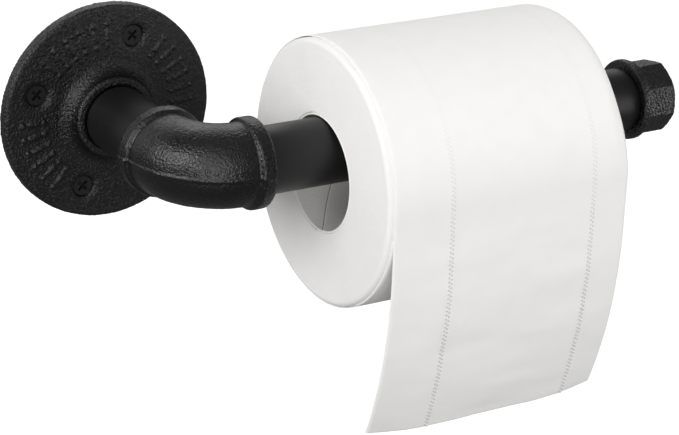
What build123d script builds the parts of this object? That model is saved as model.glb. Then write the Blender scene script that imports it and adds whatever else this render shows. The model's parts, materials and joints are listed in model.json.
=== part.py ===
from build123d import *
from math import asin, cos, degrees, radians, sin
import os

# Toilet paper holder made of threaded black iron pipe fittings, with a roll of paper on it.
#
# Frame, in millimetres: the wall is the plane Y = 0 and the room lies towards -Y. The origin is the
# centre of the flange's back face. A short nipple runs from the flange to an elbow, and the arm runs
# from the elbow along +X. +Z is up.
#
# A pipe thread is a plain fit at the thread's mean diameter.

# ---- driving dimensions ----------------------------------------------------------------------------

pipe_d = 26.7               # outside diameter of three-quarter inch pipe
pipe_bore_d = 20.9
thread_d = 25.0
thread_gap = 0.6            # thread left bare between a pipe's shoulder and its fitting
shoulder_chamfer = 0.5
arm_to_wall = 78.2          # from the wall to the arm's axis

flange_d = 89.6
rim_height = 4.8
plate_height = 5.1          # where the plate runs into the hub
hub_d = 33.6
hub_height = 12.4
hub_mouth_d = 27.4

bolt_circle_d = 64.6
screw_count = 4
first_screw_angle = 70.3    # from +X towards +Z
screw_hole_d = 6.8
screw_dish_d = 13.2         # shallow cast dish round each screw
screw_dish_depth = 1.3

screw_head_d = 8.2
screw_head_rim = 0.35       # straight edge over the head's cone
screw_shank_d = 4.2
screw_length = 25.0
head_height = 3.4           # height of the screw heads over the wall

elbow_centre_to_end = 27.5
elbow_body_d = 32.6
band_d = 35.9
band_width = 6.3
socket_depth = 11.0
parting_line_width = 0.8
parting_line_height = 0.45

cap_start = 199.6           # X of the cap's open end
cap_collar_d = 33.4
cap_collar_width = 3.4
cap_across_flats = 28.3
cap_flats_length = 14.0
cap_thread_depth = 8.4
cap_turn = 13.4             # turn of the eight flats about the arm

core_bore_d = 45.8
core_wall = 0.9
running_gap = 0.3           # left between parts that move past each other
roll_start = 55.4           # X of the roll's left end
roll_width = 109.0
wound_d = 105.8             # the roll without its loose outer turn
roll_start_shoulder = 2.4   # the roll's ends have soft rounded shoulders
roll_end_shoulder = 6.4

sheet_start = 57.2          # X of the loose sheet's left edge
sheet_width = 107.0
sheet_thickness = 0.6
sheet_wrap_angle = 350.0    # how far the loose turn goes round the roll
sheet_straight = 22.8       # length that hangs straight
sheet_curl_radius = 192.0   # the lower stretch curls back towards the wall
sheet_curl_drop = 72.3

# ---- sizes that follow from them -------------------------------------------------------------------

screw_seat_r = screw_head_d / 2 + screw_head_rim    # the head's cone bears on the countersink
pipe_r = pipe_d / 2
pipe_bore_r = pipe_bore_d / 2
thread_r = thread_d / 2
flange_r = flange_d / 2
band_r = band_d / 2
elbow_body_r = elbow_body_d / 2
bend_radius = elbow_centre_to_end - band_width
elbow_start = arm_to_wall - elbow_centre_to_end     # distance of the elbow's first end from the wall
engagement = socket_depth - 0.5                     # how far a pipe reaches into a socket
cap_engagement = cap_thread_depth - 1.4
core_bore_r = core_bore_d / 2
wound_r = wound_d / 2
roll_drop = core_bore_r - pipe_r - running_gap      # the core hangs on top of the arm

wall_view = Plane.XZ                                # seen from the room, its normal towards -Y
arm_end_view = Plane(origin=(0, -arm_to_wall, 0), x_dir=(0, 1, 0), z_dir=(1, 0, 0))
roll_end_view = Plane(origin=(roll_start, -arm_to_wall, -roll_drop), x_dir=(0, 1, 0), z_dir=(1, 0, 0))
sheet_end_view = roll_end_view.offset(sheet_start - roll_start)

os.makedirs("parts", exist_ok=True)


def finish(part, label):
    """Labels a finished piece and writes its STEP file."""
    part.label = label
    export_step(part, f"parts/{label}.step")


# ---- wall flange: cast plate, filleted hub and four dished screw seats ------------------------------

rim_draft = 0.4
rim_round = 1.3
hub_fillet = 5.9
hub_round = 1.3
mark_ring_r = 32.6
mark_spacing = 9.6          # degrees between raised marks
mark_top = 5.7
bar_length = 5.2
bar_width = 1.5
bead_r = 0.9
bead_reach = 4.4
# Each stretch of marks, between two screws: the first mark's angle and the number of marks.
mark_stretches = ((91.0, 6), (181.0, 6), (1.0, 6))

with BuildPart() as wall_flange:
    with BuildSketch(Plane.XY):
        with BuildLine():
            FilletPolyline(
                (flange_r, 0),
                (flange_r - rim_draft, -rim_height),
                (hub_d / 2, -plate_height),
                (hub_d / 2, -hub_height),
                (hub_mouth_d / 2, -hub_height),
                radius=[rim_round, hub_fillet, hub_round],
            )
            mouth_depth = (hub_mouth_d - thread_d) / 2
            Polyline(
                (hub_mouth_d / 2, -hub_height),
                (thread_r, -hub_height + mouth_depth),
                (thread_r, 0),
                (flange_r, 0),
            )
        make_face()
    revolve(axis=Axis.Y)

    # Generic raised marks, each a radial bar between two beads.
    with BuildSketch(wall_view.offset(rim_height / 2)):
        for first_angle, count in mark_stretches:
            sweep_angle = mark_spacing * (count - 1)
            ring = dict(count=count, start_angle=first_angle, angular_range=sweep_angle, endpoint=True)
            with PolarLocations(mark_ring_r, **ring):
                SlotOverall(bar_length, bar_width)
            for bead_ring_r in (mark_ring_r - bead_reach, mark_ring_r + bead_reach):
                with PolarLocations(bead_ring_r, **ring):
                    Circle(bead_r)
    extrude(amount=mark_top - rim_height / 2)

    # A shallow dish, a countersink and a clearance hole for each screw.
    dish_r = screw_dish_d / 2
    dish_sphere_r = (dish_r**2 + screw_dish_depth**2) / (2 * screw_dish_depth)
    with Locations(wall_view.offset(rim_height - screw_dish_depth + dish_sphere_r + 0.2)):
        with PolarLocations(bolt_circle_d / 2, screw_count, start_angle=first_screw_angle):
            Sphere(dish_sphere_r, mode=Mode.SUBTRACT)
    with Locations(wall_view.offset(head_height)):
        with PolarLocations(bolt_circle_d / 2, screw_count, start_angle=first_screw_angle):
            CounterSinkHole(screw_hole_d / 2, screw_seat_r, counter_sink_angle=90)

finish(wall_flange.part, "wall_flange")

# ---- screws: countersunk, cross recess, four separate solids in one node ----------------------------

recess_length = 5.0
recess_width = 1.15
recess_depth = 1.7
recess_taper = 9
plain_length = 8.0          # under the head, before the thread
screw_thread_pitch = 1.8
screw_root_r = 1.45
screw_tip_length = 5.0

cone_height = (screw_head_d - screw_shank_d) / 2
thread_start = screw_head_rim + cone_height + plain_length
tip_start = screw_length - screw_tip_length
thread_turns = int((screw_length - thread_start) / screw_thread_pitch)

with BuildPart() as screw:
    with BuildSketch(Plane.XZ):
        with BuildLine():
            outline = [
                (0, 0),
                (screw_head_d / 2, 0),
                (screw_head_d / 2, -screw_head_rim),
                (screw_shank_d / 2, -screw_head_rim - cone_height),
                (screw_shank_d / 2, -thread_start),
            ]
            for turn in range(thread_turns):
                root_z = thread_start + (turn + 0.3) * screw_thread_pitch
                crest_z = root_z + 0.5 * screw_thread_pitch
                slimming = min(1.0, (screw_length - crest_z) / screw_tip_length)
                outline.append((screw_root_r * slimming, -root_z))
                outline.append((screw_shank_d / 2 * slimming, -crest_z))
            Polyline(*outline, (0, -screw_length), close=True)
        make_face()
    revolve(axis=Axis.Z)
    with BuildSketch(Plane.XY):
        Rectangle(recess_length, recess_width)
        Rectangle(recess_width, recess_length)
    extrude(amount=-recess_depth, taper=recess_taper, mode=Mode.SUBTRACT)

with BuildPart() as wall_screws:
    with Locations(wall_view.offset(head_height)):
        with PolarLocations(bolt_circle_d / 2, screw_count, start_angle=first_screw_angle, rotate=False):
            add(screw.part, rotation=(0, 0, 45))

finish(wall_screws.part, "wall_screws")

# ---- the two pipes: a short nipple and the long arm -------------------------------------------------

nipple_start = 1.5          # the nipple stops short of the wall
nipple_end = elbow_start + engagement
arm_start = elbow_centre_to_end - engagement
arm_end = cap_start + cap_engagement

# Each pipe: its label, the plane of its first end, its length and its two threaded lengths.
pipes = (
    (
        "wall_nipple",
        wall_view.offset(nipple_start),
        nipple_end - nipple_start,
        hub_height - nipple_start + thread_gap,
        engagement + thread_gap,
    ),
    (
        "arm_pipe",
        arm_end_view.offset(arm_start),
        arm_end - arm_start,
        engagement + thread_gap,
        cap_engagement + thread_gap,
    ),
)

for pipe_label, first_end, length, first_thread, last_thread in pipes:
    with BuildPart() as pipe:
        with BuildSketch(first_end.offset(first_thread)):
            Circle(pipe_r)
        extrude(amount=length - first_thread - last_thread)
        chamfer(pipe.edges().filter_by(GeomType.CIRCLE), shoulder_chamfer)
        with BuildSketch(first_end):
            Circle(thread_r)
        extrude(amount=length)
        with BuildSketch(first_end):
            Circle(pipe_bore_r)
        extrude(amount=length, mode=Mode.SUBTRACT)
    finish(pipe.part, pipe_label)

# ---- elbow: quarter bend with a band round each socket and a parting line in its mid plane ----------

band_round = 0.8
band_inner_round = 1.4
mouth_chamfer = 0.9

with BuildPart() as elbow:
    with BuildLine() as elbow_path:
        entry = Line((0, -elbow_start), (0, -elbow_start - band_width))
        bend = JernArc(entry @ 1, entry % 1, bend_radius, 90)
        Line(bend @ 1, bend @ 1 + (band_width, 0))
    with BuildSketch(wall_view.offset(elbow_start)):
        Circle(elbow_body_r)
    sweep(path=elbow_path.wire())

    socket_mouths = (wall_view.offset(elbow_start), arm_end_view.offset(elbow_centre_to_end))
    with BuildSketch(socket_mouths[0], socket_mouths[1].offset(-band_width)):
        Circle(band_r)
    extrude(amount=band_width)
    rims = elbow.edges().filter_by(GeomType.CIRCLE).filter_by(lambda edge: edge.radius > band_r - 0.01)
    mouth_rims = rims.filter_by(lambda edge: edge.center().Y > -elbow_start - 0.1
                                or edge.center().X > elbow_centre_to_end - 0.1)
    fillet(mouth_rims, band_round)
    fillet([edge for edge in rims if edge not in mouth_rims], band_inner_round)

    # The parting line is a thin raised seam in the plane Z = 0.
    with BuildSketch(wall_view.offset(elbow_start)):
        Rectangle(elbow_body_d + 2 * parting_line_height, parting_line_width)
    sweep(path=elbow_path.wire())
    with BuildSketch(wall_view.offset(elbow_start + band_round),
                     arm_end_view.offset(elbow_centre_to_end - band_width)):
        Rectangle(band_d + 2 * parting_line_height, parting_line_width)
    extrude(amount=band_width - band_round)

    # The passage, and a threaded socket at each end.
    with BuildSketch(wall_view.offset(elbow_start)):
        Circle(pipe_bore_r)
    sweep(path=elbow_path.wire(), mode=Mode.SUBTRACT)
    with BuildSketch(socket_mouths[0], socket_mouths[1].offset(-socket_depth)):
        Circle(thread_r)
    extrude(amount=socket_depth, mode=Mode.SUBTRACT)
    bores = elbow.edges().filter_by(GeomType.CIRCLE)
    bores = bores.filter_by(lambda edge: abs(edge.radius - thread_r) < 0.01)
    mouths = bores.filter_by(lambda edge: edge.center().Y > -elbow_start - 0.1
                             or edge.center().X > elbow_centre_to_end - 0.1)
    chamfer(mouths, mouth_chamfer)

finish(elbow.part, "elbow")

# ---- end cap: round collar and eight flats ----------------------------------------------------------

collar_round = 0.8
end_bevel = 1.6
end_bevel_height = 0.9

with BuildPart() as end_cap:
    collar_end = cap_start + cap_collar_width
    cap_end = collar_end + cap_flats_length
    cap_corner_r = cap_across_flats / 2 / cos(radians(22.5))
    with BuildSketch(arm_end_view.offset(collar_end - 1)):
        RegularPolygon(cap_corner_r, 8, rotation=cap_turn)
    extrude(amount=cap_flats_length + 1)
    # A turned bevel takes the corners off the closed end.
    with BuildSketch(Plane.XY):
        with BuildLine():
            axis_y = -arm_to_wall
            Polyline(
                (cap_start, axis_y),
                (cap_start, axis_y + cap_corner_r),
                (cap_end - end_bevel_height, axis_y + cap_corner_r),
                (cap_end, axis_y + cap_corner_r - end_bevel),
                (cap_end, axis_y),
                close=True,
            )
        make_face()
    arm_axis = Axis((0, -arm_to_wall, 0), (1, 0, 0))
    revolve(axis=arm_axis, mode=Mode.INTERSECT)
    with BuildSketch(arm_end_view.offset(cap_start)):
        Circle(cap_collar_d / 2)
    extrude(amount=cap_collar_width)
    collar_rims = end_cap.edges().filter_by(GeomType.CIRCLE)
    collar_rims = collar_rims.filter_by(lambda edge: edge.radius > cap_collar_d / 2 - 0.01)
    fillet(collar_rims, collar_round)
    with BuildSketch(arm_end_view.offset(cap_start)):
        Circle(thread_r)
    extrude(amount=cap_thread_depth, mode=Mode.SUBTRACT)

finish(end_cap.part, "end_cap")

# ---- roll core: wound cardboard tube ----------------------------------------------------------------

with BuildPart() as roll_core:
    with BuildSketch(roll_end_view):
        Circle(core_bore_r + core_wall)
        Circle(core_bore_r, mode=Mode.SUBTRACT)
    extrude(amount=roll_width)

finish(roll_core.part, "roll_core")

# ---- wound paper, with soft shoulders ---------------------------------------------------------------

with BuildPart() as paper_roll:
    with BuildSketch(roll_end_view):
        Circle(wound_r)
    extrude(amount=roll_width)
    start_rim, end_rim = paper_roll.edges().filter_by(GeomType.CIRCLE).sort_by(Axis.X)
    fillet(start_rim, roll_start_shoulder)
    fillet(end_rim, roll_end_shoulder)
    with BuildSketch(roll_end_view):
        Circle(core_bore_r + core_wall)
    extrude(amount=roll_width, mode=Mode.SUBTRACT)

finish(paper_roll.part, "paper_roll")

# ---- loose sheet: the outer turn and the length that hangs from it ----------------------------------

sheet_inner_r = wound_r + running_gap
curl_angle = degrees(asin(sheet_curl_drop / sheet_curl_radius))

with BuildPart() as paper_tail:
    with BuildSketch(sheet_end_view):
        with BuildLine():
            faces = []
            for face_offset in (0, sheet_thickness):
                radius = sheet_inner_r + face_offset
                turn_arc = CenterArc((0, 0), radius, 180 - sheet_wrap_angle, sheet_wrap_angle)
                straight = Line(turn_arc @ 1, turn_arc @ 1 - (0, sheet_straight))
                curl_centre = (sheet_curl_radius - sheet_inner_r, -sheet_straight)
                curl = CenterArc(curl_centre, sheet_curl_radius + face_offset, 180, curl_angle)
                faces.append((turn_arc @ 0, curl @ 1))
            Line(faces[0][0], faces[1][0])
            Line(faces[0][1], faces[1][1])
        make_face()
    extrude(amount=sheet_width)

finish(paper_tail.part, "paper_tail")

# ---- lengths for the record -------------------------------------------------------------------------

sheet_mid_r = sheet_inner_r + sheet_thickness / 2
sheet_length = (radians(sheet_wrap_angle) * sheet_mid_r + sheet_straight
                + radians(curl_angle) * sheet_curl_radius)
first_screw = radians(first_screw_angle)
print("roll axis: Y", -arm_to_wall, "Z", round(-roll_drop, 3))
print("loose sheet, flat:", sheet_width, "x", round(sheet_length, 1))
print("slide range:", round(elbow_centre_to_end + running_gap - roll_start, 2), "to",
      round(cap_start - running_gap - roll_start - roll_width, 2))
print("first screw at X", round(bolt_circle_d / 2 * cos(first_screw), 2),
      "Z", round(bolt_circle_d / 2 * sin(first_screw), 2))
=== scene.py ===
import json
import math

import bmesh
import bpy
import numpy as np
from mathutils import Matrix, Vector, noise


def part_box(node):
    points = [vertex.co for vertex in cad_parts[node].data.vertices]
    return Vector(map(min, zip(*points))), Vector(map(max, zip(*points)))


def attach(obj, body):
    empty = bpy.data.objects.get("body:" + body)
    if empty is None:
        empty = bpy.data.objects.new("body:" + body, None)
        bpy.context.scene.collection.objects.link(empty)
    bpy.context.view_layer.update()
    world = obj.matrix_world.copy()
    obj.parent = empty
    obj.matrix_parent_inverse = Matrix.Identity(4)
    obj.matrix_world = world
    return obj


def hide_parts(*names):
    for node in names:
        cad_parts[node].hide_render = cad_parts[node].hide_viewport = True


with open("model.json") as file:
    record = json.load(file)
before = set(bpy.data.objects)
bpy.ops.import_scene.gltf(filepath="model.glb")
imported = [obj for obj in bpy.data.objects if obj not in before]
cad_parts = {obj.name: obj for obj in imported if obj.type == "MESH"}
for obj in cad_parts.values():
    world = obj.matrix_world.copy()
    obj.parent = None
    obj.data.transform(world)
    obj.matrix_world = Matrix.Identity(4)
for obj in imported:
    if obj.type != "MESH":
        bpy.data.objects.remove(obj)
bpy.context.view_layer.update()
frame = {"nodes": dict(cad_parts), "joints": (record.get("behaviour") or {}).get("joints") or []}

# A wall-mounted toilet paper holder of black iron pipe fittings, with a roll of tissue on its arm.
# Everything is in metres in the row's own frame: the wall is Y = 0, the room lies towards -Y, the arm
# runs along +X and +Z is up.

MM = 0.001

# ---- places read from the frame --------------------------------------------------------------------

JOINTS = {joint["name"]: joint for joint in frame["joints"]}
ROLL_AXIS = Vector(JOINTS["roll_turn"]["pos_m"])
ROLL_LOW, ROLL_HIGH = (Vector(corner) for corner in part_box("paper_roll"))
CORE_LOW, CORE_HIGH = (Vector(corner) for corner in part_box("roll_core"))

ROLL_RADIUS = (ROLL_HIGH.z - ROLL_LOW.z) / 2
CORE_OUTER = (CORE_HIGH.z - CORE_LOW.z) / 2
CORE_WALL = 0.9 * MM
START_SHOULDER = 2.4 * MM
END_SHOULDER = 6.4 * MM


# ---- helpers ---------------------------------------------------------------------------------------

def colour(hex_value):
    """An sRGB hex colour as linear RGBA."""
    channels = [int(hex_value[i:i + 2], 16) / 255 for i in (1, 3, 5)]
    linear = [c / 12.92 if c <= 0.04045 else ((c + 0.055) / 1.055) ** 2.4 for c in channels]
    return (*linear, 1.0)


def add_node(tree, kind, inputs=None, stops=(), **settings):
    """Adds a node with its settings. Each input, by name or number, gets a value or a link from a socket,
    and each stop of a colour ramp gets its position and its sRGB hex colour."""
    made = tree.nodes.new(kind)
    for name, value in settings.items():
        setattr(made, name, value)
    for key, value in (inputs or {}).items():
        live = [socket for socket in made.inputs if socket.enabled and socket.name == key]
        target = live[0] if live else made.inputs[key]
        source = value.source if isinstance(value, Measure) else value
        if isinstance(source, bpy.types.NodeSocket):
            tree.links.new(source, target)
        else:
            target.default_value = source
    for index, (position, hex_value) in enumerate(stops):
        made.color_ramp.elements[index].position = position
        made.color_ramp.elements[index].color = colour(hex_value)
    return made


class Measure:
    """A number or a socket inside a tree. Arithmetic on it adds the nodes that work the result out."""

    def __init__(self, tree, source):
        self.tree = tree
        self.source = source

    def worked(self, operation, other=0.0):
        """The result of one operation on this measure and another."""
        made = add_node(self.tree, "ShaderNodeMath", {0: self, 1: other}, operation=operation)
        return Measure(self.tree, made.outputs[0])

    def __add__(self, other):
        return self.worked("ADD", other)

    def __sub__(self, other):
        return self.worked("SUBTRACT", other)

    def __mul__(self, other):
        return self.worked("MULTIPLY", other)

    def __truediv__(self, other):
        return self.worked("DIVIDE", other)


def new_material(name):
    """An empty node material, its tree and its object coordinates, in metres in the row's frame."""
    material = bpy.data.materials.new(name)
    material.use_nodes = True
    material.node_tree.nodes.clear()
    point = add_node(material.node_tree, "ShaderNodeTexCoord").outputs["Object"]
    return material, material.node_tree, point


def end_material(tree, inputs):
    """Ends a material in one Principled shader with these inputs."""
    shader = add_node(tree, "ShaderNodeBsdfPrincipled", inputs)
    add_node(tree, "ShaderNodeOutputMaterial", {"Surface": shader.outputs["BSDF"]})


def use_material(piece, material):
    """Gives every slot of a piece the one material."""
    if not piece.data.materials:
        piece.data.materials.append(material)
    for index in range(len(piece.data.materials)):
        piece.data.materials[index] = material


def finish_piece(piece, material, body, cad_node):
    """Sets a piece's finish and its body, and hides the CAD node that it stands for."""
    use_material(piece, material)
    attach(piece, body)
    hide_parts(cad_node)


def new_piece(name, mesh):
    """A new object with this mesh, in the scene, at the origin."""
    piece = bpy.data.objects.new(name, mesh)
    bpy.context.scene.collection.objects.link(piece)
    return piece


def bare_piece(name, vertices=(), faces=()):
    """A new mesh object in the scene, at the origin."""
    mesh = bpy.data.meshes.new(name)
    mesh.from_pydata([tuple(v) for v in vertices], [], [tuple(f) for f in faces])
    mesh.update()
    return new_piece(name, mesh)


def fix_normals(mesh):
    """Points a closed mesh's faces outwards."""
    shell = bmesh.new()
    shell.from_mesh(mesh)
    bmesh.ops.recalc_face_normals(shell, faces=shell.faces)
    shell.to_mesh(mesh)
    shell.free()


# ---- camera, light and floor ------------------------------------------------------------------------

VIEW_TARGET = Vector((88.4, -40.0, -47.9)) * MM
VIEW_DISTANCE = 979.4 * MM
VIEW_AZIMUTH = math.radians(31.02)
VIEW_ELEVATION = math.radians(22.36)
VIEW_ROLL = math.radians(2.32)
LENS_MM = 125.58
SENSOR_MM = 36


def make_camera():
    """The camera stands to the left, above the arm, and is turned a little about its own line of sight."""
    back = Vector((
        -math.sin(VIEW_AZIMUTH) * math.cos(VIEW_ELEVATION),
        -math.cos(VIEW_AZIMUTH) * math.cos(VIEW_ELEVATION),
        math.sin(VIEW_ELEVATION),
    ))
    right = Vector((math.cos(VIEW_AZIMUTH), -math.sin(VIEW_AZIMUTH), 0))
    up = back.cross(right)
    turned_right = right * math.cos(VIEW_ROLL) + up * math.sin(VIEW_ROLL)
    turned_up = up * math.cos(VIEW_ROLL) - right * math.sin(VIEW_ROLL)
    data = bpy.data.cameras.new("camera")
    data.sensor_width = SENSOR_MM
    data.lens = LENS_MM
    data.clip_start = 0.01
    data.clip_end = 50
    camera = bpy.data.objects.new("camera", data)
    axes = Matrix((turned_right, turned_up, back)).transposed().to_4x4()
    camera.matrix_world = Matrix.Translation(VIEW_TARGET + back * VIEW_DISTANCE) @ axes
    bpy.context.scene.collection.objects.link(camera)
    bpy.context.scene.camera = camera


SURROUND_LIGHT = 0.17
LIGHT_AIM = Vector((0.09, -0.07, 0.0))
# Each soft box: its name, its bearing from the front towards the right, its height angle, its distance
# and width in metres, its power in watts, and whether it shows in reflections.
SOFT_BOXES = (
    ("key_box", -30, 0, 2.0, 1.1, 12.6, True),
    ("high_key_box", -30, 35, 2.0, 1.1, 6.8, True),
    ("high_left_box", -80, 25, 2.0, 1.1, 23.4, True),
    ("right_box", 60, 0, 2.0, 1.1, 16.2, True),
    ("high_right_fill", 60, 30, 2.0, 1.1, 8.5, False),
    ("overhead_box", 0, 80, 1.8, 1.6, 1.4, True),
    ("back_box", 160, 35, 2.0, 1.6, 10.7, True),
    ("back_left_box", -150, 20, 2.0, 1.6, 6.6, True),
)


def soft_box(name, bearing, height, distance, width, power, in_reflections):
    """A square area light that faces the object."""
    data = bpy.data.lights.new(name, "AREA")
    data.shape = "SQUARE"
    data.size = width
    data.energy = power
    light = bpy.data.objects.new(name, data)
    bearing, height = math.radians(bearing), math.radians(height)
    away = Vector((
        math.sin(bearing) * math.cos(height), -math.cos(bearing) * math.cos(height), math.sin(height)
    ))
    turn = away.to_track_quat("Z", "Y").to_matrix().to_4x4()
    light.matrix_world = Matrix.Translation(LIGHT_AIM + away * distance) @ turn
    light.visible_glossy = in_reflections
    bpy.context.scene.collection.objects.link(light)


def make_light():
    """Soft studio light from boxes all round, with a little light from the surroundings."""
    world = bpy.data.worlds.new("studio")
    world.use_nodes = True
    background = world.node_tree.nodes["Background"]
    background.inputs["Color"].default_value = colour("#FFFFFF")
    background.inputs["Strength"].default_value = SURROUND_LIGHT
    bpy.context.scene.world = world
    for box in SOFT_BOXES:
        soft_box(*box)
    bpy.context.scene.view_settings.view_transform = "Standard"


FLOOR_Z = -0.42
FLOOR_HALF = 8.0
FLOOR_GLOW = 0.42


def make_floor():
    """A plain pale floor, well below the object. It glows a little, so that it is white without lighting
    the object, and it is kept out of reflections."""
    sides = ((-1, -1), (1, -1), (1, 1), (-1, 1))
    corners = [(x * FLOOR_HALF, y * FLOOR_HALF, FLOOR_Z) for x, y in sides]
    floor = bare_piece("floor", corners, [(0, 1, 2, 3)])
    material, tree, point = new_material("pale_floor")
    speckle = add_node(tree, "ShaderNodeTexNoise", {"Vector": point, "Scale": 40.0, "Detail": 2.0})
    tint = add_node(tree, "ShaderNodeValToRGB", {"Fac": speckle.outputs["Fac"]},
                    ((0.0, "#FBFBFB"), (1.0, "#FDFDFD")))
    end_material(tree, {
        "Base Color": tint.outputs["Color"], "Roughness": 0.9,
        "Emission Color": colour("#FFFFFF"), "Emission Strength": FLOOR_GLOW,
    })
    use_material(floor, material)
    floor.visible_glossy = False
    floor.visible_diffuse = False


# ---- materials -------------------------------------------------------------------------------------

def cast_iron_black(name, relief):
    """Sand-cast iron under a thick black powder coat: a sand grain that the coat rounds off, so that each
    grain gives a small soft glint, with shallow pits and a little uneven gloss. The grain is 0.8 mm,
    coarser than real sand, so that it shows."""
    material, tree, point = new_material(name)
    grain = add_node(tree, "ShaderNodeTexNoise", {
        "Vector": point, "Scale": 1 / (0.8 * MM), "Detail": 2.0, "Roughness": 0.5,
    })
    pits = add_node(tree, "ShaderNodeTexVoronoi", {"Vector": point, "Scale": 1 / (1.0 * MM)},
                    feature="SMOOTH_F1")
    patches = add_node(tree, "ShaderNodeTexNoise", {
        "Vector": point, "Scale": 1 / (14 * MM), "Detail": 2.0,
    })
    height = Measure(tree, grain.outputs["Fac"]) + Measure(tree, pits.outputs["Distance"]) * 0.5
    bump = add_node(tree, "ShaderNodeBump", {"Strength": 0.9, "Distance": relief, "Height": height})
    gloss = add_node(tree, "ShaderNodeMapRange", {
        "Value": patches.outputs["Fac"],
        "From Min": 0.3, "From Max": 0.7, "To Min": 0.22, "To Max": 0.36,
    })
    tint = add_node(tree, "ShaderNodeValToRGB", {"Fac": grain.outputs["Fac"]},
                    ((0.3, "#0A0A0B"), (0.75, "#121213")))
    end_material(tree, {
        "Base Color": tint.outputs["Color"], "Roughness": gloss.outputs["Result"], "IOR": 1.5,
        "Normal": bump.outputs["Normal"],
    })
    return material


def pipe_black():
    """Drawn steel pipe with a thin black powder coat: smooth and satin, with a faint orange peel and wide
    patches that are a little duller or darker."""
    material, tree, point = new_material("steel_pipe_black_satin_coat")
    peel = add_node(tree, "ShaderNodeTexNoise", {
        "Vector": point, "Scale": 1 / (0.9 * MM), "Detail": 2.0,
    })
    patches = add_node(tree, "ShaderNodeTexNoise", {
        "Vector": point, "Scale": 1 / (18 * MM), "Detail": 3.0,
    })
    bump = add_node(tree, "ShaderNodeBump", {
        "Strength": 0.12, "Distance": 0.1 * MM, "Height": peel.outputs["Fac"],
    })
    gloss = add_node(tree, "ShaderNodeMapRange", {
        "Value": patches.outputs["Fac"],
        "From Min": 0.3, "From Max": 0.7, "To Min": 0.4, "To Max": 0.5,
    })
    tint = add_node(tree, "ShaderNodeValToRGB", {"Fac": patches.outputs["Fac"]},
                    ((0.0, "#0C0C0D"), (1.0, "#121213")))
    end_material(tree, {
        "Base Color": tint.outputs["Color"], "Roughness": gloss.outputs["Result"], "IOR": 1.5,
        "Normal": bump.outputs["Normal"],
    })
    return material


def screw_black():
    """Hardened steel screws with black phosphate: dark and dull, with a fine crystal grain that is
    lighter where it stands up."""
    material, tree, point = new_material("steel_black_phosphate")
    grain = add_node(tree, "ShaderNodeTexNoise", {
        "Vector": point, "Scale": 1 / (0.7 * MM), "Detail": 4.0,
    })
    bump = add_node(tree, "ShaderNodeBump", {
        "Strength": 0.25, "Distance": 0.08 * MM, "Height": grain.outputs["Fac"],
    })
    tint = add_node(tree, "ShaderNodeValToRGB", {"Fac": grain.outputs["Fac"]},
                    ((0.0, "#0B0B0C"), (1.0, "#1A1A1C")))
    end_material(tree, {
        "Base Color": tint.outputs["Color"], "Roughness": 0.48, "IOR": 1.5,
        "Normal": bump.outputs["Normal"],
    })
    return material


def tissue_white():
    """Soft creped tissue, three plies thick: matt, nearly pure white, with a soft grain and a cloudy fibre
    formation. The embossed dots, where the plies are held together, are greyed in its colour: painted shade
    that stands in for the dots' shading. The grain is 0.9 mm, coarser than real crepe, so that it shows."""
    material, tree, point = new_material("creped_tissue_white")
    fibres = add_node(tree, "ShaderNodeTexNoise", {
        "Vector": point, "Scale": 1 / (0.9 * MM), "Detail": 4.0, "Roughness": 0.6,
    })
    clouds = add_node(tree, "ShaderNodeTexNoise", {
        "Vector": point, "Scale": 1 / (9 * MM), "Detail": 2.0,
    })
    white = add_node(tree, "ShaderNodeValToRGB", {"Fac": clouds.outputs["Fac"]},
                     ((0.0, "#F6F5F3"), (1.0, "#FBFAF8")))
    bump = add_node(tree, "ShaderNodeBump", {
        "Strength": 0.35, "Distance": 0.12 * MM, "Height": fibres.outputs["Fac"],
    })
    # the stored dot value greys the tissue here: painted shade on the embossed dots
    dots = add_node(tree, "ShaderNodeAttribute", attribute_name="dot_height_and_painted_shade")
    tint = add_node(tree, "ShaderNodeMix", {
        "Factor": Measure(tree, dots.outputs["Fac"]) * 0.9,
        "A": white.outputs["Color"], "B": colour("#BDBBB7"),
    }, data_type="RGBA")
    end_material(tree, {
        "Base Color": tint.outputs[2], "Roughness": 0.92, "IOR": 1.45, "Specular IOR Level": 0.25,
        "Sheen Weight": 0.15, "Sheen Roughness": 0.6, "Normal": bump.outputs["Normal"],
    })
    return material


SEAM_PITCH = 93.6 * MM      # the core's board strip advances by this along the arm in each turn
SEAM_PHASE = 0.873
SEAM_STEP = 0.22 * MM
# the width of the painted shade line and the painted highlight line on the two sides of the seam
SEAM_LINE = 0.5 * MM
CUT_END = 0.35 * MM


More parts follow.
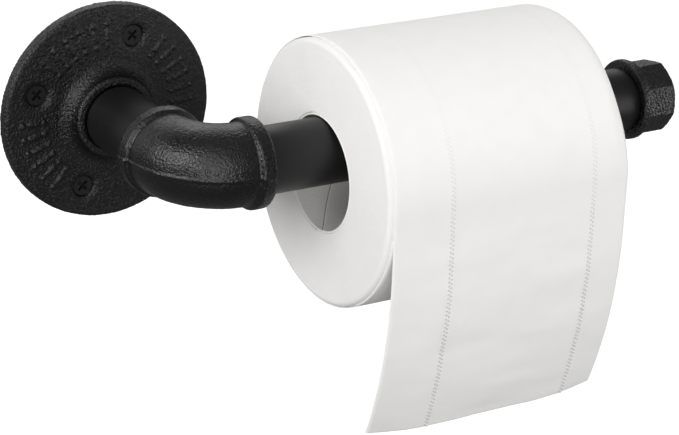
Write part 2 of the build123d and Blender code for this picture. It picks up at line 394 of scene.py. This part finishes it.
def grey_board():
    """Grey recycled board, wound into a tube: matt, with flecks of fibre, and painted shade and painted
    highlight along the strip's seam, a dark line on one side of its step and a pale edge on the other, and
    a paler cut end, partly the cut board's own tone and partly a painted highlight on its rim."""
    material, tree, point = new_material("grey_wound_cardboard")
    flecks = add_node(tree, "ShaderNodeTexNoise", {
        "Vector": point, "Scale": 1 / (0.8 * MM), "Detail": 5.0, "Roughness": 0.7,
    })
    tint = add_node(tree, "ShaderNodeValToRGB", {"Fac": flecks.outputs["Fac"]},
                    ((0.25, "#DEDCD9"), (0.7, "#F0EEEB")))
    place = add_node(tree, "ShaderNodeSeparateXYZ", {"Vector": point}).outputs
    x, y, z = (Measure(tree, place[axis]) for axis in "XYZ")
    angle = (z - ROLL_AXIS.z).worked("ARCTAN2", y - ROLL_AXIS.y)
    turns = x / SEAM_PITCH - angle / (2 * math.pi)
    away = ((turns - (SEAM_PHASE - 0.5)).worked("FRACT") - 0.5) * SEAM_PITCH
    # painted shade and painted highlight: a dark line on one side of the seam's step and a pale line on the
    # other
    dark = away.worked("LESS_THAN", 0.0) * away.worked("GREATER_THAN", -SEAM_LINE)
    pale = away.worked("GREATER_THAN", 0.0) * away.worked("LESS_THAN", SEAM_LINE)
    # the first 0.35 mm at the open end is made paler: partly the cut board's own tone, partly a painted
    # highlight on the rim
    cut = x.worked("LESS_THAN", CORE_LOW.x + CUT_END)
    shade = tint.outputs["Color"]
    for amount, tone in ((dark, "#A5A3A0"), (pale, "#F4F3F0"), (cut, "#F6F5F2")):
        mixed = add_node(tree, "ShaderNodeMix", {"Factor": amount, "A": shade, "B": colour(tone)},
                         data_type="RGBA")
        shade = mixed.outputs[2]
    bump = add_node(tree, "ShaderNodeBump", {
        "Strength": 0.3, "Distance": 0.1 * MM, "Height": flecks.outputs["Fac"],
    })
    end_material(tree, {
        "Base Color": shade, "Roughness": 0.85, "IOR": 1.45, "Specular IOR Level": 0.3,
        "Normal": bump.outputs["Normal"],
    })
    return material


# ---- Geometry Nodes ---------------------------------------------------------------------------------

def start_tree(name, sizes):
    """A Geometry Nodes tree with one named input for each size and one for the finish. It also gives the
    sizes as measures."""
    tree = bpy.data.node_groups.new(name, "GeometryNodeTree")
    tree.interface.new_socket("Geometry", in_out="INPUT", socket_type="NodeSocketGeometry")
    for size, value in sizes.items():
        socket = tree.interface.new_socket(size, in_out="INPUT", socket_type="NodeSocketFloat")
        socket.default_value = value
    tree.interface.new_socket("Finish", in_out="INPUT", socket_type="NodeSocketMaterial")
    tree.interface.new_socket("Geometry", in_out="OUTPUT", socket_type="NodeSocketGeometry")
    given = add_node(tree, "NodeGroupInput").outputs
    return tree, given, {size: Measure(tree, given[size]) for size in sizes}


def end_tree(tree, given, geometry):
    """Ends a tree in Realize Instances and Set Material."""
    real = add_node(tree, "GeometryNodeRealizeInstances", {"Geometry": geometry})
    finished = add_node(tree, "GeometryNodeSetMaterial", {
        "Geometry": real.outputs["Geometry"], "Material": given["Finish"],
    })
    add_node(tree, "NodeGroupOutput", {"Geometry": finished.outputs["Geometry"]})


def push_out(tree, geometry, distance):
    """Moves a geometry's points along their normals."""
    normal = add_node(tree, "GeometryNodeInputNormal").outputs["Normal"]
    offset = add_node(tree, "ShaderNodeVectorMath", {0: normal, 3: distance}, operation="SCALE")
    moved = add_node(tree, "GeometryNodeSetPosition", {
        "Geometry": geometry, "Offset": offset.outputs["Vector"],
    })
    return moved.outputs["Geometry"]


def add_tree(piece, tree, sizes, finish):
    """Adds a tree to a piece and sets its inputs by their identifiers."""
    modifier = piece.modifiers.new(tree.name, "NODES")
    modifier.node_group = tree
    for socket in tree.interface.items_tree:
        if socket.in_out == "INPUT" and socket.name in sizes:
            modifier[socket.identifier] = sizes[socket.name]
        if socket.name == "Finish":
            modifier[socket.identifier] = finish


def bake_modifiers(piece):
    """Replaces a piece's mesh by its evaluated one and removes its modifiers."""
    depsgraph = bpy.context.evaluated_depsgraph_get()
    piece.data = bpy.data.meshes.new_from_object(piece.evaluated_get(depsgraph))
    piece.modifiers.clear()


# ---- castings: the CAD shape with its edges rounded and a sand-cast skin ------------------------------

WELD_GAP = 0.001 * MM
SMOOTH_STEPS = 2


def cast_skin_tree():
    """Pushes a surface in and out by two sizes of smooth noise: sand grain and slow lumps."""
    tree, given, size = start_tree("sand_cast_skin", {
        "Grain": 1.3 * MM, "Grain Relief": 0.42 * MM, "Lump": 7 * MM, "Lump Relief": 0.3 * MM,
    })
    reliefs = []
    for layer in ("Grain", "Lump"):
        bumps = add_node(tree, "ShaderNodeTexNoise", {
            "Scale": Measure(tree, 1.0) / size[layer], "Detail": 2.0,
        })
        reliefs.append((Measure(tree, bumps.outputs[0]) - 0.5) * size[layer + " Relief"])
    end_tree(tree, given, push_out(tree, given["Geometry"], reliefs[0] + reliefs[1]))
    return tree


def make_casting(node, voxel, sizes, skin, finish):
    """Stands for a cast CAD node: a merged copy of it, remeshed fine enough to round every edge a
    little, with the cast skin on it."""
    source = frame["nodes"][node]
    mesh = source.data.copy()
    mesh.transform(source.matrix_world)
    piece = new_piece(node + "_casting", mesh)
    weld = piece.modifiers.new("weld", "WELD")
    weld.merge_threshold = WELD_GAP
    remesh = piece.modifiers.new("remesh", "REMESH")
    remesh.mode = "VOXEL"
    remesh.voxel_size = voxel
    remesh.use_smooth_shade = True
    soften = piece.modifiers.new("soften", "SMOOTH")
    soften.factor = 0.5
    soften.iterations = SMOOTH_STEPS
    add_tree(piece, skin, sizes, finish)
    bake_modifiers(piece)
    finish_piece(piece, finish, "holder", node)


# ---- the roll: wound paper and its core ---------------------------------------------------------------

TURN_SPACING = 0.45 * MM
CREASE_ANGLE = math.radians(35)


def wound_paper_tree():
    """One flat spiral of paper swept across the roll's width and laid along the arm. Each turn's edges
    wander a little, and the outer turns step back into soft shoulders."""
    tree, given, size = start_tree("wound_paper", {
        "Inner Radius": CORE_OUTER + 0.25 * MM, "Outer Radius": ROLL_RADIUS + 0.15 * MM,
        "Layer": TURN_SPACING, "Width": ROLL_HIGH.x - ROLL_LOW.x,
        "Start Shoulder": START_SHOULDER, "End Shoulder": END_SHOULDER, "Wander": 0.2 * MM,
        "Centre X": (ROLL_LOW.x + ROLL_HIGH.x) / 2, "Centre Y": ROLL_AXIS.y, "Centre Z": ROLL_AXIS.z,
    })
    outer, layer, width = size["Outer Radius"], size["Layer"], size["Width"]
    start_shoulder, end_shoulder = size["Start Shoulder"], size["End Shoulder"]

    spiral = add_node(tree, "GeometryNodeCurveSpiral", {
        "Resolution": 96, "Height": 0.0, "Rotations": (outer - size["Inner Radius"]) / layer,
        "Start Radius": size["Inner Radius"], "End Radius": outer,
    })
    upright = add_node(tree, "GeometryNodeSetCurveNormal", {"Curve": spiral.outputs["Curve"]})
    upright.mode = "Z_UP"
    section = add_node(tree, "GeometryNodeCurvePrimitiveQuadrilateral", {
        "Width": layer * 0.94, "Height": width,
    })
    swept = add_node(tree, "GeometryNodeCurveToMesh", {
        "Curve": upright.outputs["Curve"], "Profile Curve": section.outputs["Curve"], "Fill Caps": True,
    })

    position = add_node(tree, "GeometryNodeInputPosition").outputs["Position"]
    place = add_node(tree, "ShaderNodeSeparateXYZ", {"Vector": position}).outputs
    x, y, z = (Measure(tree, place[axis]) for axis in "XYZ")
    radius = (x * x + y * y).worked("SQRT")
    side = z.worked("SIGN")
    at_end = z.worked("GREATER_THAN")
    shoulder = start_shoulder + at_end * (end_shoulder - start_shoulder)
    over = (radius - (outer - shoulder)).worked("MAXIMUM")
    left = (shoulder * shoulder - over * over).worked("MAXIMUM")
    inset = shoulder - left.worked("SQRT")

    seed_point = add_node(tree, "ShaderNodeCombineXYZ", {
        "X": radius / (layer * 1.6), "Y": x / radius * 1.3, "Z": y / radius * 1.3 + side * 7.0,
    })
    wander = add_node(tree, "ShaderNodeTexNoise", {
        "Vector": seed_point.outputs["Vector"], "Scale": 1.0, "Detail": 1.0,
    })
    loose = Measure(tree, 0.6) + over / shoulder * at_end * 1.4
    stray = Measure(tree, wander.outputs[0]) * size["Wander"] * loose
    reach = width * 0.5 - inset - stray
    edge_point = add_node(tree, "ShaderNodeCombineXYZ", {"X": x, "Y": y, "Z": side * reach})
    moved = add_node(tree, "GeometryNodeSetPosition", {
        "Geometry": swept.outputs["Mesh"], "Position": edge_point.outputs["Vector"],
    })
    centre = add_node(tree, "ShaderNodeCombineXYZ", {
        axis: size["Centre " + axis] for axis in "XYZ"
    })
    laid = add_node(tree, "GeometryNodeTransform", {
        "Geometry": moved.outputs["Geometry"], "Translation": centre.outputs["Vector"],
        "Rotation": (0.0, math.pi / 2, 0.0),
    })
    end_tree(tree, given, laid.outputs["Geometry"])
    return tree


def make_wound_paper(finish):
    """The roll's wound paper. Its turns are 0.45 mm apart, coarser than tissue, so that they show."""
    piece = bare_piece("wound_paper")
    add_tree(piece, wound_paper_tree(), {}, finish)
    bake_modifiers(piece)
    piece.data.set_sharp_from_angle(angle=CREASE_ANGLE)
    finish_piece(piece, finish, "roll", "paper_roll")


CORE_AROUND = 240
CORE_ALONG = 150
CORE_LIP = 0.25 * MM


def make_core(finish):
    """The cardboard tube. Its inner ply is a strip wound at a slant, so one edge of it shows inside as a
    step that climbs round the bore."""
    inner = CORE_OUTER - CORE_WALL
    x_low, x_high = CORE_LOW.x, CORE_HIGH.x
    start_lip = [(x_low + CORE_LIP, CORE_OUTER), (x_low, CORE_OUTER - CORE_LIP), (x_low, inner + CORE_LIP)]
    bore = [(x, inner) for x in np.linspace(x_low + CORE_LIP, x_high - CORE_LIP, CORE_ALONG + 1)]
    end_lip = [(x_high, inner + CORE_LIP), (x_high, CORE_OUTER - CORE_LIP), (x_high - CORE_LIP, CORE_OUTER)]
    section = start_lip + bore + end_lip
    bore_rows = range(len(start_lip), len(start_lip) + len(bore))
    vertices = []
    for k in range(CORE_AROUND):
        angle = 2 * math.pi * k / CORE_AROUND
        for index, (x, radius) in enumerate(section):
            if index in bore_rows:
                phase = (x / SEAM_PITCH - angle / (2 * math.pi) - SEAM_PHASE) % 1.0
                radius += SEAM_STEP * (phase - 0.5)
            out = Vector((0, math.cos(angle), math.sin(angle))) * radius
            vertices.append((x, ROLL_AXIS.y + out.y, ROLL_AXIS.z + out.z))
    size = len(section)
    faces = []
    for k in range(CORE_AROUND):
        here, after = k * size, ((k + 1) % CORE_AROUND) * size
        for index in range(size):
            step = (index + 1) % size
            faces.append((here + index, here + step, after + step, after + index))
    piece = bare_piece("cardboard_core", vertices, faces)
    fix_normals(piece.data)
    piece.data.shade_smooth()
    finish_piece(piece, finish, "roll", "roll_core")


# ---- the loose sheet ----------------------------------------------------------------------------------

SHEET_WIDTH = 107.0 * MM
SHEET_LENGTH = 423.7 * MM
SHEET_ROWS = 960
SHEET_THICKNESS = 0.3 * MM
SHEET_MIDDLE_X = 110.7 * MM
SHEET_GAP = 0.6 * MM         # the sheet's middle surface lies this far outside the wound paper's radius
SHEET_RADIUS = ROLL_RADIUS + SHEET_GAP
SHEET_WRAP = math.radians(350)
FALL_START = SHEET_RADIUS * SHEET_WRAP
STRAIGHT_DROP = 22.8 * MM
CURL_RADIUS = 192 * MM
BOW = 3.4 * MM               # how far the middle of the lower edge stands out from its corners
TURN_SLACK = 0.06 * MM       # how much the sheet waves on the roll, and how much more where it hangs
HANG_SLACK = 0.6 * MM
SLACK_LIFT = 0.3             # how far outwards the waves lie, as a share of the slack
WAVE_ACROSS = 24 * MM
WAVE_ALONG = 20 * MM
SHOULDER_FADE = (math.radians(-6), math.radians(40))   # angles before the fall, low and high
RIDGE_CREST = 43 * MM        # soft ridges run round the roll near its end shoulder
RIDGE_MIDDLE = 46.5 * MM
RIDGE_SPREAD = 3 * MM
RIDGE_PITCH = 2.3 * MM
RIDGE_HEIGHT = 0.07 * MM
DOT_LINES = (-27.7 * MM, 37.3 * MM)
DOT_COLUMN = 0.26 * MM       # the sheet's columns are this close beside the dots


def smooth_step(low, high, value):
    """0 below low, 1 above high and a smooth change between them."""
    t = np.clip((value - low) / (high - low), 0, 1)
    return t * t * (3 - 2 * t)


def sheet_columns():
    """Places across the sheet: fine at the two lines of dots, coarse between them."""
    half = SHEET_WIDTH / 2
    first, second = (np.arange(-5, 6) * DOT_COLUMN + line for line in DOT_LINES)
    return np.sort(np.concatenate([
        np.linspace(-half, -half + 7 * MM, 5),
        np.linspace(-half + 11 * MM, first[0] - 2 * MM, 3),
        first,
        np.linspace(first[-1] + 4 * MM, second[0] - 4 * MM, 7),
        second,
        np.linspace(second[-1] + 1 * MM, half, 11),
    ]))


def shoulder_shift(past, shoulder):
    """Where points that lie past the shoulder's start go: their shift along the arm and inwards."""
    radius = shoulder + SHEET_GAP
    turn = np.maximum(past, 0) / radius
    return radius * np.sin(turn) - np.maximum(past, 0), radius * (1 - np.cos(turn))


def bowed_row(across, depth):
    """One row of a sheet bowed by depth: places along the arm and outwards that keep the row's width."""
    x = np.linspace(-SHEET_WIDTH / 2, SHEET_WIDTH / 2, 201)
    out = depth * (1 - (2 * x / SHEET_WIDTH) ** 4)
    run = np.concatenate([[0], np.cumsum(np.hypot(np.diff(x), np.diff(out)))])
    shrink = SHEET_WIDTH / run[-1]
    where = (across / SHEET_WIDTH + 0.5) * run[-1]
    return np.interp(where, run, x) * shrink, np.interp(where, run, out)


def sheet_line(t):
    """A point of the sheet's middle line at length t: its Y and Z, and which way is outwards."""
    if t < FALL_START:
        angle = SHEET_WRAP - 2 * math.pi - t / SHEET_RADIUS
        out = np.array((-math.cos(angle), math.sin(angle)))
        return np.array((ROLL_AXIS.y, ROLL_AXIS.z)) + SHEET_RADIUS * out, out
    fall = t - FALL_START
    bend = max(fall - STRAIGHT_DROP, 0) / CURL_RADIUS
    place = np.array((
        ROLL_AXIS.y - SHEET_RADIUS + CURL_RADIUS * (1 - math.cos(bend)),
        ROLL_AXIS.z - min(fall, STRAIGHT_DROP) - CURL_RADIUS * math.sin(bend),
    ))
    return place, np.array((-math.cos(bend), -math.sin(bend)))


def sheet_shape():
    """Every point of the sheet's middle surface, by rows from its wound end to its lower edge."""
    across = sheet_columns()
    along = np.linspace(0, SHEET_LENGTH, SHEET_ROWS)
    start_line = ROLL_LOW.x + START_SHOULDER - SHEET_MIDDLE_X
    end_line = ROLL_HIGH.x - END_SHOULDER - SHEET_MIDDLE_X
    start_reach, start_in = shoulder_shift(start_line - across, START_SHOULDER)
    end_reach, end_in = shoulder_shift(across - end_line, END_SHOULDER)
    ridges = RIDGE_HEIGHT * np.cos((across - RIDGE_CREST) / RIDGE_PITCH * 2 * math.pi)
    ridges = ridges * np.exp(-((across - RIDGE_MIDDLE) / RIDGE_SPREAD) ** 2)
    rows = []
    for t in along:
        base, out = sheet_line(t)
        on_roll = smooth_step(*SHOULDER_FADE, (FALL_START - t) / SHEET_RADIUS)
        hang = max(t - FALL_START, 0) / (SHEET_LENGTH - FALL_START)
        x, bow = bowed_row(across, BOW * hang ** 1.3)
        x = x + SHEET_MIDDLE_X + on_roll * (end_reach - start_reach)
        slack = TURN_SLACK + HANG_SLACK * (1 - smooth_step(1.0, 0.0, hang * 4))
        slack = slack * (1 - 0.8 * np.abs(2 * across / SHEET_WIDTH) ** 3)
        waves = np.array([
            noise.fractal(Vector((a / WAVE_ACROSS, t / WAVE_ALONG, 3.1)), 0.8, 2.0, 3) for a in across
        ])
        lift = bow + slack * (waves + SLACK_LIFT) + on_roll * (ridges - start_in - end_in)
        rows.append(np.column_stack((x, base[0] + lift * out[0], base[1] + lift * out[1])))
    return across, along, np.array(rows)


def emboss_tree():
    """Raises two double lines of small round dots along the sheet, and stores where they are, which the
    tissue greys as painted shade on the dots. The dots fade out where the sheet is tight on the roll."""
    tree, given, size = start_tree("dot_emboss", {
        "First Line": DOT_LINES[0], "Second Line": DOT_LINES[1], "Row Gap": 1.1 * MM,
        "Pitch": 1.75 * MM, "Dot Radius": 0.52 * MM, "Height": 0.5 * MM,
        "Fade Start": FALL_START - 35 * MM, "Fade End": FALL_START + 40 * MM,
    })
    across, along = (
        Measure(tree, add_node(tree, "GeometryNodeInputNamedAttribute", {"Name": name},
                               data_type="FLOAT").outputs[0])
        for name in ("across", "along")
    )
    dot_height_and_painted_shade = Measure(tree, 0.0)
    for line in ("First Line", "Second Line"):
        for side in (-0.5, 0.5):
            sideways = (across - (size[line] + size["Row Gap"] * side)) / size["Dot Radius"]
            turns = along / size["Pitch"] + (0.25 + side / 2)
            endways = (turns.worked("FRACT") - 0.5) * size["Pitch"] / size["Dot Radius"]
            dot = Measure(tree, 1.0) - (sideways * sideways + endways * endways)
            dot_height_and_painted_shade = dot_height_and_painted_shade.worked("MAXIMUM", dot)
    fade = add_node(tree, "ShaderNodeMapRange", {
        "Value": along, "From Min": size["Fade Start"], "From Max": size["Fade End"],
        "To Min": 0.1, "To Max": 1.0,
    })
    faded = dot_height_and_painted_shade * fade.outputs["Result"]
    # the stored value is the painted shade that greys the dots in the tissue's colour
    marked = add_node(tree, "GeometryNodeStoreNamedAttribute", {
        "Geometry": push_out(tree, given["Geometry"], faded * size["Height"]),
        "Name": "dot_height_and_painted_shade", "Value": faded,
    }, data_type="FLOAT", domain="POINT")
    end_tree(tree, given, marked.outputs["Geometry"])
    return tree


def make_sheet(finish):
    """The last turn of tissue and its hanging end, as one sheet."""
    across, along, points = sheet_shape()
    rows, columns = points.shape[:2]
    faces = [
        (r * columns + c, (r + 1) * columns + c, (r + 1) * columns + c + 1, r * columns + c + 1)
        for r in range(rows - 1) for c in range(columns - 1)
    ]
    piece = bare_piece("loose_tissue_sheet", points.reshape(-1, 3), faces)
    for name, values in (("across", np.tile(across, rows)), ("along", np.repeat(along, columns))):
        attribute = piece.data.attributes.new(name, "FLOAT", "POINT")
        attribute.data.foreach_set("value", values.astype(np.float32))
    piece.data.shade_smooth()
    add_tree(piece, emboss_tree(), {}, finish)
    wall = piece.modifiers.new("thickness", "SOLIDIFY")
    wall.thickness = SHEET_THICKNESS
    wall.offset = 0
    bake_modifiers(piece)
    finish_piece(piece, finish, "sheet", "paper_tail")


def main():
    make_camera()
    make_light()
    make_floor()
    coarse_iron = cast_iron_black("sand_cast_iron_black_powder_coat", 0.6 * MM)
    fine_iron = cast_iron_black("fine_cast_iron_black_powder_coat", 0.3 * MM)
    skin = cast_skin_tree()
    make_casting("wall_flange", 0.45 * MM, {}, skin, coarse_iron)
    make_casting("elbow", 0.45 * MM, {"Grain Relief": 0.2 * MM}, skin, fine_iron)
    make_casting("end_cap", 0.35 * MM, {"Grain Relief": 0.34 * MM}, skin, coarse_iron)
    pipe = pipe_black()
    for node in ("wall_nipple", "arm_pipe"):
        use_material(frame["nodes"][node], pipe)
    use_material(frame["nodes"]["wall_screws"], screw_black())
    make_core(grey_board())
    tissue = tissue_white()
    make_wound_paper(tissue)
    make_sheet(tissue)


main()
